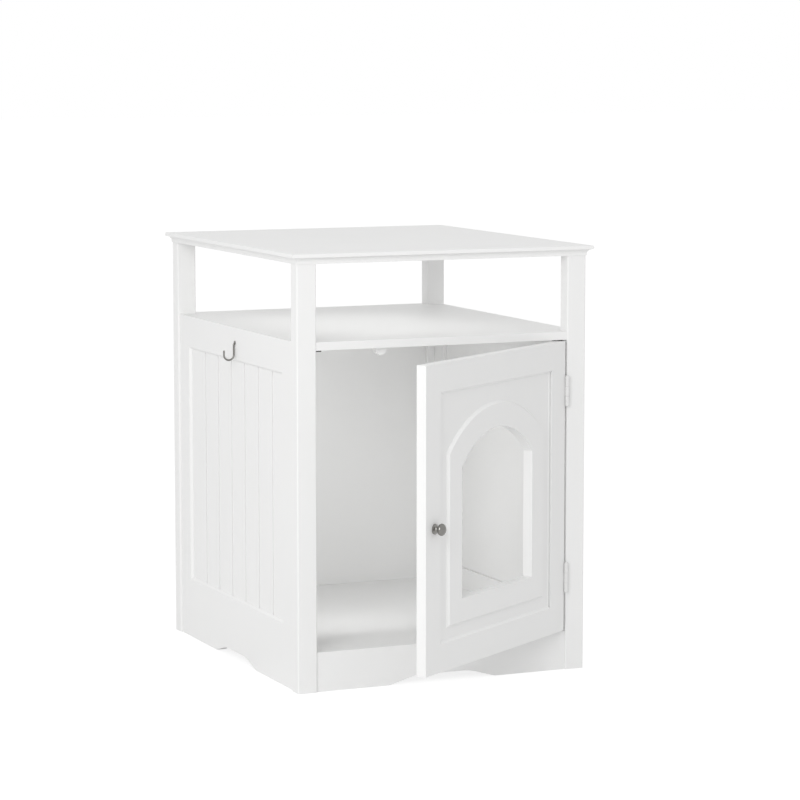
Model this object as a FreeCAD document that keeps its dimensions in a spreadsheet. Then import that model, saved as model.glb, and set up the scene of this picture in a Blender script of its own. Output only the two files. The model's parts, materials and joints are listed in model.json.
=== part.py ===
"""Cat litter box cabinet: a night stand with an open bay over a closed litter room.

Frame: +Z up, the floor at z = 0, the front faces -Y, and the origin is the middle of the four posts' feet.
The door is drawn shut in a frame of its own, with the hinge pins' axis as its origin, and hung ajar.
"""
import FreeCAD, Part
import math
import os
import re

import Sketcher

V = FreeCAD.Vector

# Driving dimensions in millimetres and degrees.
SIZES = {
    "overall_width": 478,
    "overall_depth": 545,
    "overall_height": 635,
    "top_overhang": 9,
    "top_thickness": 15,
    "top_lip_height": 5.5,
    "top_lip_step": 1,
    "top_cove": 7,
    "edge_round": 2,
    "post_width": 30,
    "post_depth": 24,
    "shelf_height": 508,
    "shelf_thickness": 12,
    "shelf_inset": 1,
    "panel_recess": 3,
    "side_thickness": 15,
    "stile_width": 41,
    "top_rail_width": 36,
    "bottom_rail_height": 92,
    "recess_depth": 4,
    "bevel": 3.5,
    "rabbet_lip": 6,
    "bead_thickness": 6,
    "bead_play": 0.3,
    "bead_pitch": 56.6,
    "bead_first": -148.5,
    "bead_groove_width": 3,
    "bead_groove_depth": 3,
    "cutout_width": 170,
    "cutout_flat": 86,
    "cutout_rise": 12,
    "cutout_round": 80,
    "apron_height": 58,
    "apron_thickness": 15,
    "back_thickness": 12,
    "floor_height": 56,
    "floor_thickness": 12,
    "cleat_size": 15,
    "cleat_length": 400,
    "door_thickness": 15,
    "door_gap": 2,
    "door_free_gap": 3,
    "door_margin": 40,
    "kerf_width": 2.4,
    "kerf_depth": 6,
    "door_ajar_angle": 34.4,
    "arch_width": 200,
    "arch_lift": 96,
    "arch_drop": 105,
    "arch_rise": 47,
    "ring_width": 33,
    "ring_rise": 60,
    "knob_height": 265,
    "knob_inset": 23,
    "knob_base_radius": 7.5,
    "knob_base_thickness": 2,
    "knob_neck_radius": 3.5,
    "knob_neck_end": 7.5,
    "knob_head_radius": 8.7,
    "knob_head_start": 10,
    "knob_dome_start": 12.5,
    "knob_reach": 17.5,
    "knob_tip_flat": 0.6,
    "knob_screw_radius": 2,
    "knob_screw_bite": 8,
    "knob_screw_head_radius": 5,
    "knob_screw_head": 2,
    "hinge_upper": 420,
    "hinge_lower": 140,
    "hinge_length": 44,
    "leaf_thickness": 0.9,
    "leaf_play": 0.1,
    "leaf_reach": 13,
    "knuckle_radius": 3.1,
    "knuckle_proud": 3.3,
    "knuckle_play": 0.3,
    "knuckle_gap": 0.15,
    "pin_radius": 1.6,
    "pin_play": 0.05,
    "pin_head_radius": 2.6,
    "pin_head": 1.2,
    "hinge_screw_spacing": 26,
    "hinge_screw_depth": 7.5,
    "hinge_screw_length": 13,
    "hinge_screw_head_radius": 2.6,
    "screw_radius": 1.5,
    "catch_offset": 92.5,
    "catch_radius": 9,
    "catch_depth": 9,
    "catch_straight": 2.8,
    "catch_clearance": 0.4,
    "catch_front_wall": 1.2,
    "catch_ear": 8,
    "catch_ear_thickness": 2,
    "magnet_width": 12,
    "magnet_height": 4,
    "magnet_depth": 5.5,
    "pole_thickness": 1,
    "strike_width": 20,
    "strike_height": 9,
    "strike_thickness": 1.2,
    "strike_below_edge": 1,
    "strike_screw_length": 11,
    "hook_along": -6,
    "hook_below_shelf": 11,
    "hook_wire_radius": 1.3,
    "hook_stand_off": 2.2,
    "hook_bend": 3,
    "hook_shank": 15,
    "hook_curl": 7.8,
    "hook_tip": 7,
    "hook_bite": 10,
    "hook_flange_radius": 3,
    "hook_flange": 1,
    "bracket_leg": 14,
    "bracket_width": 7.5,
    "bracket_inset": 0.5,
    "bracket_thickness": 3.2,
    "bracket_screw_length": 9,
    "bracket_screw_head_radius": 3,
    "dowel_radius": 4,
    "dowel_in_frame": 18,
    "dowel_in_post": 12,
    "dowel_first": 60,
    "dowel_pitch": 200,
    "cam_radius": 7.5,
    "cam_reach": 24,
    "cam_past_bolt": 4,
    "bolt_radius": 3,
    "bolt_bite": 10,
    "apron_cam_height": 35,
    "back_cam_low": 120,
    "back_cam_high": 400,
    "cleat_screw_spacing": 160,
    "cleat_screw_length": 24,
    "cleat_screw_head_radius": 3.6,
}

# Places that follow from the driving dimensions, each written once.
PLACES = {
    "post_x": "overall_width / 2 - top_overhang",
    "post_y": "overall_depth / 2 - top_overhang",
    "post_top": "overall_height - top_thickness",
    "inner_x": "post_x - post_width",
    "inner_y": "post_y - post_depth",
    "side_out": "post_x - panel_recess",
    "side_in": "side_out - side_thickness",
    "side_middle": "side_out - side_thickness / 2",
    "panel_y": "post_y - panel_recess",
    "apron_back": "panel_y - apron_thickness",
    "back_inner": "panel_y - back_thickness",
    "shelf_under": "shelf_height - shelf_thickness",
    "floor_under": "floor_height - floor_thickness",
    "window_y": "inner_y - stile_width - bevel",
    "window_low": "bottom_rail_height + bevel",
    "window_high": "shelf_under - top_rail_width - bevel",
    "bead_out": "side_out - recess_depth",
    "bead_in": "bead_out - bead_thickness",
    "door_bottom": "apron_height + door_gap",
    "door_top": "shelf_under - door_gap",
    "hinge_gap": "2 * (leaf_thickness + leaf_play)",
    "pin_x": "inner_x - hinge_gap / 2",
    "pin_y": "-(post_y + knuckle_proud)",
    "door_width": "2 * inner_x - hinge_gap - door_free_gap",
    "door_edge": "-hinge_gap / 2",
    "door_free": "door_edge - door_width",
    "door_middle": "door_edge - door_width / 2",
    "door_back": "knuckle_proud + door_thickness",
    "knuckle_half": "hinge_length / 6",
    "arch_sill": "door_bottom + arch_lift",
    "arch_apex": "door_top - arch_drop",
    "arch_spring": "arch_apex - arch_rise",
    "arch_radius": "((arch_width / 2) ^ 2 + arch_rise ^ 2) / (2 * arch_rise)",
    "ring_half": "arch_width / 2 + ring_width + bevel",
    "ring_top": "arch_apex + ring_width + bevel",
    "ring_spring": "ring_top - ring_rise",
    "ring_radius": "(ring_half ^ 2 + ring_rise ^ 2) / (2 * ring_rise)",
    "ring_low": "arch_sill - ring_width - bevel",
    "knob_x": "door_free + knob_inset",
    "knob_dome": "knob_reach - knob_dome_start",
    "knob_dome_radius": "(knob_head_radius ^ 2 + knob_dome ^ 2) / (2 * knob_dome)",
    "catch_front": "-(post_y - door_thickness - strike_thickness - catch_clearance)",
    "catch_back": "catch_front + catch_depth",
    "magnet_middle": "shelf_under - catch_radius / 2",
    "magnet_half": "magnet_height / 2",
    "strike_middle": "-(catch_offset + pin_x)",
    "strike_z": "door_top - strike_below_edge - strike_height / 2",
    "bracket_y": "inner_y + bracket_inset + bracket_width / 2",
    "hook_height": "shelf_under - hook_below_shelf",
    "hook_shank_x": "-(side_out + hook_stand_off)",
    "hook_curl_z": "hook_height - hook_bend - hook_shank",
}

doc = FreeCAD.newDocument("litter_cabinet")
sheet = doc.addObject("Spreadsheet::Sheet", "Sizes")
for row, (alias, number) in enumerate(SIZES.items(), start=1):
    sheet.set(f"A{row}", alias)
    sheet.set(f"B{row}", str(number))
    sheet.setAlias(f"B{row}", alias)
doc.recompute()

nodes = []

BEAD_COUNT = 6
DOWEL_COUNT = 3
CLOSE = 1e-4


# ---- formulas ----------------------------------------------------------------------------------
def formula(text):
    """A formula in the sheet's names, with every place written out."""

    def full(match):
        word = match.group(0)
        if word in PLACES:
            return f"({formula(PLACES[word])})"
        return f"Sizes.{word}" if word in SIZES else word

    return re.sub(r"[a-z_]+", full, str(text))


def number(text):
    """What a formula comes to with the sheet's present numbers."""
    return float(sheet.evalExpression(formula(text)))


def bind(thing, prop, text):
    thing.setExpression(prop, formula(text))


def place(thing, x, y, z):
    for axis, text in zip("xyz", (x, y, z)):
        bind(thing, f"Placement.Base.{axis}", text)


def half_turn(thing):
    """Turns a piece half round the upright axis, for the cabinet's other side."""
    thing.Placement = FreeCAD.Placement(V(0, 0, 0), FreeCAD.Rotation(V(0, 0, 1), 180))
    return thing


def hang(thing):
    """Puts a piece of the door on the hinge axis, as far open as the door stands."""
    thing.Placement = FreeCAD.Placement(V(0, 0, 0), FreeCAD.Rotation(V(0, 0, 1), 1))
    place(thing, "pin_x", "pin_y", 0)
    bind(thing, "Placement.Rotation.Angle", "door_ajar_angle")
    return thing


def node(thing, label):
    """Names a finished sub-part. The label is also its file's name."""
    thing.Label = label
    nodes.append(thing)
    return thing


# ---- plain solids ------------------------------------------------------------------------------
DIRECTIONS = {
    "+x": V(1, 0, 0),
    "-x": V(-1, 0, 0),
    "+y": V(0, 1, 0),
    "-y": V(0, -1, 0),
    "+z": V(0, 0, 1),
    "-z": V(0, 0, -1),
}


def block(name, x, y, z):
    """A box between a low and a high place on each axis."""
    box = doc.addObject("Part::Box", name)
    for prop, (low, high) in zip(("Length", "Width", "Height"), (x, y, z)):
        bind(box, prop, f"({high}) - ({low})")
    place(box, x[0], y[0], z[0])
    return box


def aim(thing, start, direction):
    turn = FreeCAD.Rotation(V(0, 0, 1), DIRECTIONS[direction])
    thing.Placement = FreeCAD.Placement(V(0, 0, 0), turn)
    place(thing, *start)


def rod(name, start, direction, radius, length):
    """A cylinder from its start along one direction."""
    cylinder = doc.addObject("Part::Cylinder", name)
    bind(cylinder, "Radius", radius)
    bind(cylinder, "Height", length)
    aim(cylinder, start, direction)
    return cylinder


def screw(name, start, direction, head_radius, radius, length):
    """A countersunk screw whose flat head lies at its start."""
    head = doc.addObject("Part::Cone", f"{name}_head")
    bind(head, "Radius1", head_radius)
    bind(head, "Radius2", radius)
    bind(head, "Height", f"{head_radius} - {radius}")
    aim(head, start, direction)
    shank = rod(f"{name}_shank", start, direction, radius, length)
    return join(name, [head, shank])


def join(name, pieces):
    fused = doc.addObject("Part::MultiFuse", name)
    fused.Shapes = pieces
    return fused


def group(name, pieces):
    """Separate solids that share one node."""
    bundle = doc.addObject("Part::Compound", name)
    bundle.Links = pieces
    return bundle


def cut(name, base, tools):
    result = doc.addObject("Part::Cut", name)
    result.Base = base
    result.Tool = tools if not isinstance(tools, list) else group(f"{name}_tools", tools)
    return result


# ---- sketched bodies ---------------------------------------------------------------------------
def body_named(name):
    return doc.addObject("PartDesign::Body", f"{name}_body")


def sketch_on(body, plane, name, offset=0):
    """A sketch on one of the body's origin planes, moved along the plane's normal by a formula."""
    sketch = body.newObject("Sketcher::SketchObject", name)
    support = [item for item in body.Origin.OriginFeatures if item.Role == plane]
    sketch.AttachmentSupport = [(support[0], "")]
    sketch.MapMode = "FlatFace"
    bind(sketch, "AttachmentOffset.Base.z", offset)
    return sketch


def arc_between(start, end, radius):
    """The short arc from start to end that bulges to the right of that way."""
    chord = end - start
    middle = (start + end) / 2
    right = V(chord.y, -chord.x, 0).normalize()
    rise = radius - math.sqrt(max(radius**2 - (chord.Length / 2) ** 2, 0))
    return Part.Arc(start, middle + right * rise, end)


def outline(sketch, corners, arcs=None):
    """A closed outline through corners of formula pairs. arcs gives the radius of a side that is an arc."""
    arcs = arcs or {}
    points = [V(number(x), number(y), 0) for x, y in corners]
    ids = []
    for side, start in enumerate(points):
        end = points[(side + 1) % len(points)]
        curve = Part.LineSegment(start, end)
        if side in arcs:
            curve = arc_between(start, end, number(arcs[side]))
        ids.append(sketch.addGeometry(curve, False))

    def corner_of(side, point):
        """Which end of a side lies at a point: 1 is its start, 2 its end."""
        return 1 if (sketch.getPoint(ids[side], 1) - point).Length < CLOSE else 2

    for side, (x, y) in enumerate(corners):
        before = side - 1 if side else len(corners) - 1
        here, there = corner_of(side, points[side]), corner_of(before, points[side])
        sketch.addConstraint(Sketcher.Constraint("Coincident", ids[before], there, ids[side], here))
        for kind, text in (("DistanceX", x), ("DistanceY", y)):
            fixed = Sketcher.Constraint(kind, -1, 1, ids[side], here, number(text))
            index = sketch.addConstraint(fixed)
            bind(sketch, f"Constraints[{index}]", text)
    for side, text in arcs.items():
        index = sketch.addConstraint(Sketcher.Constraint("Radius", ids[side], number(text)))
        bind(sketch, f"Constraints[{index}]", text)


def rectangle(sketch, x, y):
    outline(sketch, [(x[0], y[0]), (x[1], y[0]), (x[1], y[1]), (x[0], y[1])])


def pad(body, sketch, length, other_way=False):
    feature = body.newObject("PartDesign::Pad", f"{sketch.Name}_pad")
    feature.Profile = sketch
    feature.Reversed = other_way
    bind(feature, "Length", length)
    return feature


def pocket(body, sketch, depth=None, other_way=False):
    """Cuts to a depth, or right through both ways where none is given, and checks that it cut."""
    doc.recompute()
    before = body.Shape.Volume
    feature = body.newObject("PartDesign::Pocket", f"{sketch.Name}_cut")
    feature.Profile = sketch
    feature.Reversed = other_way
    if depth is None:
        feature.Type = "ThroughAll"
        feature.Midplane = True
    else:
        bind(feature, "Length", depth)
    doc.recompute()
    if body.Shape.Volume > before - CLOSE:
        raise RuntimeError(f"{feature.Name} cuts nothing")
    return feature


def dress(body, kind, size, chosen):
    """A Fillet or Chamfer on the edges of the body's present shape that chosen picks."""
    doc.recompute()
    base = body.Tip
    names = [f"Edge{i}" for i, edge in enumerate(base.Shape.Edges, start=1) if chosen(edge)]
    if not names:
        raise RuntimeError(f"no edges for {kind} on {body.Name}")
    feature = body.newObject(f"PartDesign::{kind}", f"{body.Name}_{kind.lower()}")
    feature.Base = (base, names)
    bind(feature, "Size" if kind == "Chamfer" else "Radius", size)
    return feature


def lies_at(edge, axis, text):
    """True where a whole edge lies at one place on an axis."""
    place_there = number(text)
    box = edge.BoundBox
    low = getattr(box, f"{axis.upper()}Min")
    high = getattr(box, f"{axis.upper()}Max")
    return abs(low - place_there) < CLOSE and abs(high - place_there) < CLOSE


def inside(edge, axis, text):
    """True where a whole edge is nearer the middle of an axis than a place."""
    box = edge.BoundBox
    low = getattr(box, f"{axis.upper()}Min")
    high = getattr(box, f"{axis.upper()}Max")
    return max(abs(low), abs(high)) < number(text) - CLOSE


# ---- fasteners ---------------------------------------------------------------------------------
def side_dowels():
    """Wooden dowels that join each side frame's stiles to its two posts, three to a joint."""
    dowels = []
    for x_sign, side in (("-", "left"), ("", "right")):
        for y_sign, end, direction in (("-", "front", "-y"), ("", "back", "+y")):
            for count in range(DOWEL_COUNT):
                start_y = f"{y_sign}(inner_y - dowel_in_frame)"
                start = (f"{x_sign}side_middle", start_y, f"dowel_first + {count} * dowel_pitch")
                name = f"dowel_{side}_{end}_{count + 1}"
                length = "dowel_in_frame + dowel_in_post"
                dowels.append(rod(name, start, direction, "dowel_radius", length))
    return group("dowels", dowels)


def knock_down_joints():
    """The bolt and the disc of each cam joint: where the bolt starts, its way, and the disc's face."""
    joints = []
    for sign, away in (("-", "+x"), ("", "-x")):
        start_x = f"{sign}(inner_x + bolt_bite)"
        disc_x = f"{sign}(inner_x - cam_reach)"
        apron_middle = "-(panel_y - apron_thickness / 2)"
        apron_disc = (disc_x, "-apron_back", "apron_cam_height")
        apron_start = (start_x, apron_middle, "apron_cam_height")
        joints.append((apron_start, away, apron_disc, "-y", "apron_thickness / 2"))
        back_middle = "panel_y - back_thickness / 2"
        for height in ("back_cam_low", "back_cam_high"):
            back_disc = (disc_x, "panel_y", height)
            joints.append(((start_x, back_middle, height), away, back_disc, "-y", "back_thickness / 2"))
        for y, face in (("-(inner_y + post_depth / 2)", "-inner_y"), ("inner_y + post_depth / 2", "post_y")):
            post_middle = f"{sign}(inner_x + post_width / 2)"
            start = (post_middle, y, "post_top + bolt_bite")
            disc = (post_middle, face, "post_top - cam_reach")
            joints.append((start, "-z", disc, "-y", "post_depth / 2"))
    return joints


def cam_fittings():
    """Steel bolts screwed into one piece, and the cam discs that draw them into the other."""
    bolts, discs = [], []
    for count, (start, way, disc, inward, to_bolt) in enumerate(knock_down_joints(), start=1):
        bolts.append(rod(f"cam_bolt_{count}", start, way, "bolt_radius", "bolt_bite + cam_reach"))
        disc_depth = f"{to_bolt} + cam_past_bolt"
        discs.append(rod(f"cam_disc_{count}", disc, inward, "cam_radius", disc_depth))
    return group("bolts", bolts), group("discs", discs)


def cleat_screws():
    """Countersunk screws through each floor cleat into its side frame."""
    screws = []
    for sign, way in (("-", "-x"), ("", "+x")):
        for count in (-1, 0, 1):
            start = (
                f"{sign}(side_in - cleat_size)",
                f"{count} * cleat_screw_spacing",
                "floor_under - cleat_size / 2",
            )
            name = f"cleat_screw_{'left' if sign else 'right'}_{count + 2}"
            screws.append(
                screw(name, start, way, "cleat_screw_head_radius", "screw_radius", "cleat_screw_length")
            )
    return group("cleat_screw_group", screws)


def bracket_screws():
    """One screw up into the shelf and one into the post for each shelf bracket."""
    screws = []
    middle = "bracket_thickness + (bracket_leg - bracket_thickness) / 2"
    head = "bracket_screw_head_radius"
    for x_sign, outward in (("-", "-x"), ("", "+x")):
        for y_sign in ("-", ""):
            y = f"{y_sign}bracket_y"
            tag = f"{'left' if x_sign else 'right'}_{'front' if y_sign else 'back'}"
            up_from = (f"{x_sign}(inner_x - ({middle}))", y, "shelf_under - bracket_thickness")
            screws.append(
                screw(f"shelf_screw_{tag}", up_from, "+z", head, "screw_radius", "bracket_screw_length")
            )
            out_from = (f"{x_sign}(inner_x - bracket_thickness)", y, f"shelf_under - ({middle})")
            screws.append(
                screw(f"post_screw_{tag}", out_from, outward, head, "screw_radius", "bracket_screw_length")
            )
    return group("bracket_screw_group", screws)


def hinge_screws(start_x, way, name):
    """Two screws for each of the two leaves that lie against one piece."""
    screws = []
    for hinge in ("hinge_upper", "hinge_lower"):
        for sign in ("-", "+"):
            height = f"{hinge} {sign} hinge_screw_spacing / 2"
            start = (start_x, "knuckle_proud + hinge_screw_depth", height)
            tag = f"{name}_{hinge}_{'low' if sign == '-' else 'high'}"
            screws.append(
                screw(tag, start, way, "hinge_screw_head_radius", "screw_radius", "hinge_screw_length")
            )
    return group(f"{name}_group", screws)


def catch_screws():
    """The catch's two screws, up through its ears into the shelf."""
    head = "(screw_radius + catch_ear_thickness / 2)"
    under = "shelf_under - catch_ear_thickness"
    beside = ("-catch_offset + catch_radius + catch_ear / 2", "catch_front + catch_depth / 2", under)
    behind = ("-catch_offset", "catch_back + catch_ear / 2", under)
    return group(
        "catch_screw_group",
        [
            screw("catch_screw_side", beside, "+z", head, "screw_radius", "bracket_screw_length"),
            screw("catch_screw_rear", behind, "+z", head, "screw_radius", "bracket_screw_length"),
        ],
    )


# ---- the case ----------------------------------------------------------------------------------
def top_board(bolts):
    """The top: a thin lip over a cove that draws in to the posts."""
    body = body_named("top")
    lip = sketch_on(body, "XY_Plane", "top_lip", "overall_height - top_lip_height")
    rectangle(lip, ("-overall_width / 2", "overall_width / 2"), ("-overall_depth / 2", "overall_depth / 2"))
    pad(body, lip, "top_lip_height")
    half_x = "(overall_width / 2 - top_lip_step - top_cove)"
    half_y = "(overall_depth / 2 - top_lip_step - top_cove)"
    under = sketch_on(body, "XY_Plane", "top_under", "post_top")
    rectangle(under, (f"-{half_x}", half_x), (f"-{half_y}", half_y))
    pad(body, under, "top_thickness - top_lip_height")

    def under_lip(edge):
        level = lies_at(edge, "z", "overall_height - top_lip_height")
        return level and inside(edge, "x", "overall_width / 2") and inside(edge, "y", "overall_depth / 2")

    dress(body, "Fillet", "top_cove", under_lip)
    dress(body, "Fillet", "edge_round", lambda edge: lies_at(edge, "z", "overall_height"))
    node(cut("top", body, bolts), "top_board")


def posts(fittings):
    """Four full-height posts, wide across the front and thin from front to back."""
    for x_sign, side in ((-1, "left"), (1, "right")):
        for y_sign, end in ((-1, "front"), (1, "back")):
            body = body_named(f"post_{end}_{side}")
            foot = sketch_on(body, "XY_Plane", f"post_{end}_{side}_section")
            x = sorted((f"{x_sign} * inner_x", f"{x_sign} * post_x"), key=number)
            y = sorted((f"{y_sign} * inner_y", f"{y_sign} * post_y"), key=number)
            rectangle(foot, x, y)
            pad(body, foot, "post_top")
            dress(body, "Fillet", "edge_round", lambda edge: edge.BoundBox.ZLength > number("post_top") / 2)
            node(cut(f"post_{end}_{side}", body, fittings), f"post_{end}_{side}")


def cutout_corners(low_end, high_end, top):
    """A board's outline on edge, with the shallow cut-out that leaves a foot at each end."""
    return [
        (low_end, 0),
        ("-cutout_width / 2", 0),
        ("-cutout_flat / 2", "cutout_rise"),
        ("cutout_flat / 2", "cutout_rise"),
        ("cutout_width / 2", 0),
        (high_end, 0),
        (high_end, top),
        (low_end, top),
    ]


def round_cutout(body):
    """Eases the cut-out's two upper corners."""

    def corner(edge):
        box = edge.BoundBox
        level = lies_at(edge, "z", "cutout_rise")
        return level and max(box.XLength, box.YLength) < number("side_thickness + apron_thickness")

    dress(body, "Fillet", "cutout_round", corner)


def side_frame(side, fittings):
    """A side's outer frame: stiles, rails and a bevelled window, rabbeted inside for the beaded panel."""
    body = body_named(f"side_{side}")
    board = sketch_on(body, "YZ_Plane", f"side_{side}_board", "-side_out")
    outline(board, cutout_corners("-inner_y", "inner_y", "shelf_under"))
    pad(body, board, "side_thickness")
    round_cutout(body)
    window = sketch_on(body, "YZ_Plane", f"side_{side}_window", "-side_out")
    rectangle(window, ("-window_y", "window_y"), ("window_low", "window_high"))
    pocket(body, window)
    rabbet = sketch_on(body, "YZ_Plane", f"side_{side}_rabbet", "-side_in")
    rectangle(
        rabbet,
        ("-(window_y + rabbet_lip)", "window_y + rabbet_lip"),
        ("window_low - rabbet_lip", "window_high + rabbet_lip"),
    )
    pocket(body, rabbet, "side_thickness - recess_depth")

    def window_arris(edge):
        low = edge.BoundBox.ZMin > number("bottom_rail_height")
        return lies_at(edge, "x", "-side_out") and low and inside(edge, "y", "inner_y")

    dress(body, "Chamfer", "bevel", window_arris)
    if side == "right":
        half_turn(body)
    node(cut(f"side_{side}", body, fittings), f"side_frame_{side}")


def bead_panel(side):
    """The thin panel in a side frame's rabbet, with narrow upright grooves in its outer face."""
    body = body_named(f"bead_{side}")
    sheet_outline = sketch_on(body, "YZ_Plane", f"bead_{side}_sheet", "-bead_out")
    rectangle(
        sheet_outline,
        ("-(window_y + rabbet_lip - bead_play)", "window_y + rabbet_lip - bead_play"),
        ("window_low - rabbet_lip + bead_play", "window_high + rabbet_lip - bead_play"),
    )
    pad(body, sheet_outline, "bead_thickness")
    groove = sketch_on(body, "XY_Plane", f"bead_{side}_groove", "window_low - rabbet_lip")
    rectangle(
        groove,
        ("-bead_out", "-bead_out + bead_groove_depth"),
        ("bead_first - bead_groove_width / 2", "bead_first + bead_groove_width / 2"),
    )
    cutter = pocket(body, groove)
    pattern = body.newObject("PartDesign::LinearPattern", f"bead_{side}_grooves")
    pattern.Originals = [cutter]
    pattern.Direction = (groove, ["V_Axis"])
    pattern.Occurrences = BEAD_COUNT
    bind(pattern, "Length", f"{BEAD_COUNT - 1} * bead_pitch")
    body.Tip = pattern
    if side == "right":
        half_turn(body)
    node(body, f"beadboard_panel_{side}")


def front_apron(fittings):
    """The board under the door, with the same shallow cut-out."""
    body = body_named("apron")
    board = sketch_on(body, "XZ_Plane", "apron_board", "panel_y")
    outline(board, cutout_corners("-inner_x", "inner_x", "apron_height"))
    pad(body, board, "apron_thickness", other_way=True)
    round_cutout(body)
    node(cut("apron", body, fittings), "front_apron")


def back_panel(fittings):
    """The closed back, between the back posts."""
    board = block("back_board", ("-inner_x", "inner_x"), ("back_inner", "panel_y"), (0, "shelf_under"))
    node(cut("back", board, fittings), "back_panel")


def corner_blocks(name, x, y, z):
    """Four boxes, one over each post, that notch a board."""
    notches = []
    for x_sign in (-1, 1):
        for y_sign in (-1, 1):
            across = sorted((f"{x_sign} * ({x[0]})", f"{x_sign} * ({x[1]})"), key=number)
            along = sorted((f"{y_sign} * ({y[0]})", f"{y_sign} * ({y[1]})"), key=number)
            notches.append(block(f"{name}_{x_sign + 2}_{y_sign + 2}", across, along, z))
    return notches


def shelf(fittings):
    """The floor of the open bay, notched round the posts, flush with the sides and resting on the panels."""
    half_x, half_y = "side_out", "(post_y - shelf_inset)"
    height = ("shelf_under", "shelf_height")
    board = block("shelf_board", (f"-{half_x}", half_x), (f"-{half_y}", half_y), height)
    notches = corner_blocks("shelf_notch", ("inner_x", "post_x"), ("inner_y", "post_y"), height)
    notched = cut("shelf_notched", board, notches)
    node(cut("shelf", notched, fittings), "shelf")


def floor_panel():
    """The litter room's floor, on its cleats, between the sides, the apron and the back."""
    height = ("floor_under", "floor_height")
    board = block("floor_board", ("-side_in", "side_in"), ("-apron_back", "back_inner"), height)
    notches = corner_blocks("floor_notch", ("inner_x", "post_x"), ("inner_y", "post_y"), height)
    node(cut("floor", board, notches), "floor_panel")


def floor_cleats(screws):
    """A strip along each side that carries the floor."""
    for sign, side in ((-1, "left"), (1, "right")):
        across = sorted((f"{sign} * (side_in - cleat_size)", f"{sign} * side_in"), key=number)
        along = ("-cleat_length / 2", "cleat_length / 2")
        strip = block(f"cleat_{side}_strip", across, along, ("floor_under - cleat_size", "floor_under"))
        node(cut(f"cleat_{side}", strip, screws), f"floor_cleat_{side}")


def shelf_brackets(screws):
    """Small steel angles that tie the shelf to the posts from below."""
    angles = []
    for x_sign in (-1, 1):
        for y_sign in (-1, 1):
            tag = f"bracket_{x_sign + 2}_{y_sign + 2}"
            middle = f"{y_sign} * bracket_y"
            along = (f"{middle} - bracket_width / 2", f"{middle} + bracket_width / 2")
            level = sorted((f"{x_sign} * (inner_x - bracket_leg)", f"{x_sign} * inner_x"), key=number)
            upright = sorted((f"{x_sign} * (inner_x - bracket_thickness)", f"{x_sign} * inner_x"), key=number)
            leg = block(f"{tag}_level", level, along, ("shelf_under - bracket_thickness", "shelf_under"))
            wall = block(f"{tag}_upright", upright, along, ("shelf_under - bracket_leg", "shelf_under"))
            angles.append(join(tag, [leg, wall]))
    node(cut("brackets", group("bracket_angles", angles), screws), "shelf_brackets")


# ---- the door ----------------------------------------------------------------------------------
def arched(sketch, half, low, spring, radius):
    """An upright outline with a low arch over it, about the door's middle."""
    outline(
        sketch,
        [
            (f"door_middle - {half}", low),
            (f"door_middle + {half}", low),
            (f"door_middle + {half}", spring),
            (f"door_middle - {half}", spring),
        ],
        {2: radius},
    )


def door_panel(fittings):
    """One board: a bevelled recess with a fine kerf at its hinge side, a raised ring and an arched way in."""
    body = body_named("door")
    face = "-knuckle_proud"
    board = sketch_on(body, "XZ_Plane", "door_board", face)
    rectangle(board, ("door_free", "door_edge"), ("door_bottom", "door_top"))
    pad(body, board, "door_thickness", other_way=True)
    recess = sketch_on(body, "XZ_Plane", "door_recess", face)
    inset = "(door_margin + bevel)"
    rectangle(
        recess,
        (f"door_free + {inset}", f"door_edge - {inset}"),
        (f"door_bottom + {inset}", f"door_top - {inset}"),
    )
    arched(recess, "ring_half", "ring_low", "ring_spring", "ring_radius")
    pocket(body, recess, "recess_depth")
    opening = sketch_on(body, "XZ_Plane", "door_opening", face)
    arched(opening, "arch_width / 2", "arch_sill", "arch_spring", "arch_radius")
    pocket(body, opening)

    def recess_arris(edge):
        box = edge.BoundBox
        middle = number("door_middle")
        from_middle = max(abs(box.XMin - middle), abs(box.XMax - middle))
        on_board_edge = from_middle > number("door_width / 2 - door_margin / 2")
        on_opening = from_middle < number("arch_width / 2 + ring_width / 2")
        bottom = box.ZMin < number("door_bottom + door_margin / 2")
        top = box.ZMax > number("door_top - door_margin / 2")
        on_face = lies_at(edge, "y", "knuckle_proud")
        return on_face and not (on_board_edge or on_opening or bottom or top)

    dress(body, "Chamfer", "bevel", recess_arris)
    kerf = sketch_on(body, "XZ_Plane", "door_kerf", face)
    rectangle(
        kerf,
        ("door_edge - door_margin - kerf_width", "door_edge - door_margin"),
        ("door_bottom + door_margin", "door_top - door_margin"),
    )
    pocket(body, kerf, "kerf_depth")
    node(hang(cut("door", body, fittings)), "door_panel")


def knob_screw():
    """The machine screw that holds the knob from the door's back."""
    head_start = ("knob_x", "door_back + knob_screw_head", "knob_height")
    head = rod("knob_screw_head_disc", head_start, "-y", "knob_screw_head_radius", "knob_screw_head")
    length = "knob_screw_head + door_thickness + knob_screw_bite"
    shank = rod("knob_screw_shank", head_start, "-y", "knob_screw_radius", length)
    return join("knob_screw_whole", [head, shank])


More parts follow.
